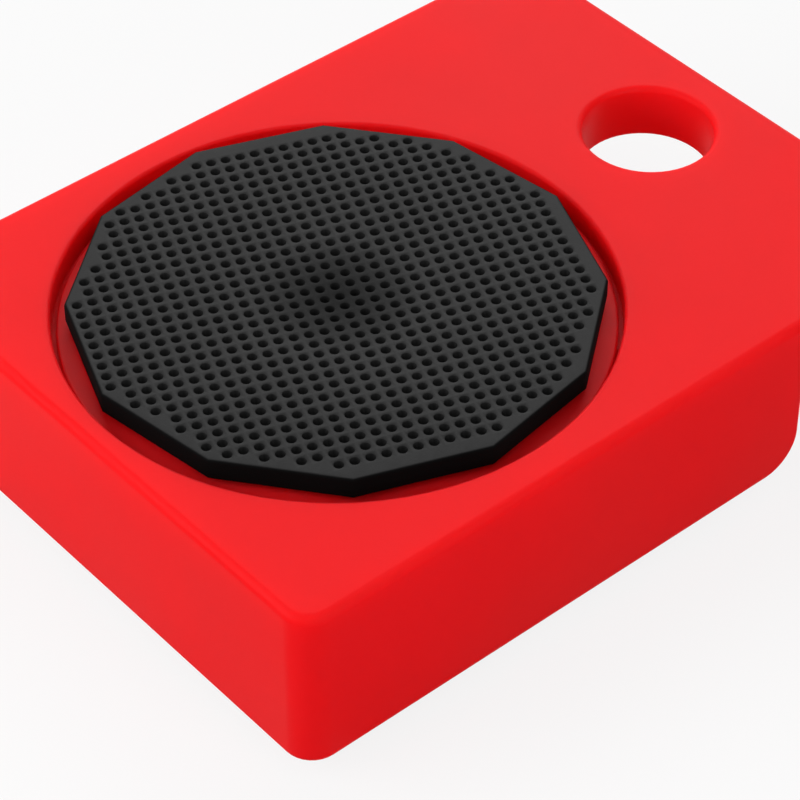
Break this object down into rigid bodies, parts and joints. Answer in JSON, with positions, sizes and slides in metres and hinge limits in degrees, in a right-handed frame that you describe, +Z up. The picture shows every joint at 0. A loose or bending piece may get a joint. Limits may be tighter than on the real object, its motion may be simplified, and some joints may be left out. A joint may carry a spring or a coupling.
{
  "type": "anti-slip furniture pad",
  "caption": "Low red roller block for moving furniture: a freely turning disc carries a dimpled anti-slip rubber pad, a tab with a finger hole sticks out at one end, wheels below.",
  "frame": {"origin": "on the floor, below the middle of the block's length and width", "axes": "+X from the heel to the tip of the tab, +Y to the left side, +Z up"},
  "size_m": [0.1, 0.0768, 0.0269],
  "materials": {
    "red_plastic": "satin moulded ABS",
    "pad_rubber": "matt dimpled rubber",
    "pad_glue": "thin bond layer",
    "wheel_nylon": "satin moulded nylon",
    "zinc_steel": "bright zinc plate"
  },
  "bodies": {
    "base": {"housing": "red_plastic", "base_cover": "red_plastic", "cover_screw_heel": "zinc_steel", "cover_screw_nose": "zinc_steel", "cover_screw_left": "zinc_steel", "cover_screw_right": "zinc_steel", "axle_pin_heel_left": "zinc_steel", "axle_pin_heel_right": "zinc_steel", "axle_pin_nose_left": "zinc_steel", "axle_pin_nose_right": "zinc_steel"},
    "turntable": {"turntable_disc": "red_plastic", "pad_adhesive": "pad_glue", "anti_slip_pad": "pad_rubber", "pivot_washer": "zinc_steel", "pivot_screw": "zinc_steel"},
    "roller_heel_left": {"wheel_heel_left": "wheel_nylon"},
    "roller_heel_right": {"wheel_heel_right": "wheel_nylon"},
    "roller_nose_left": {"wheel_nose_left": "wheel_nylon"},
    "roller_nose_right": {"wheel_nose_right": "wheel_nylon"}
  },
  "joints": [
    {"name": "turntable_spin", "type": "hinge", "parent": "base", "child": "turntable", "pos_m": [-0.0135, 0, 0.0234], "axis": [0, 0, 1], "continuous": true},
    {"name": "wheel_heel_left_spin", "type": "hinge", "parent": "base", "child": "roller_heel_left", "pos_m": [-0.03349, 0.023, 0.008], "axis": [0, 1, 0], "continuous": true},
    {"name": "wheel_heel_right_spin", "type": "hinge", "parent": "base", "child": "roller_heel_right", "pos_m": [-0.03349, -0.023, 0.008], "axis": [0, 1, 0], "continuous": true},
    {"name": "wheel_nose_left_spin", "type": "hinge", "parent": "base", "child": "roller_nose_left", "pos_m": [0.00649, 0.023, 0.008], "axis": [0, 1, 0], "continuous": true},
    {"name": "wheel_nose_right_spin", "type": "hinge", "parent": "base", "child": "roller_nose_right", "pos_m": [0.00649, -0.023, 0.008], "axis": [0, 1, 0], "continuous": true}
  ]
}
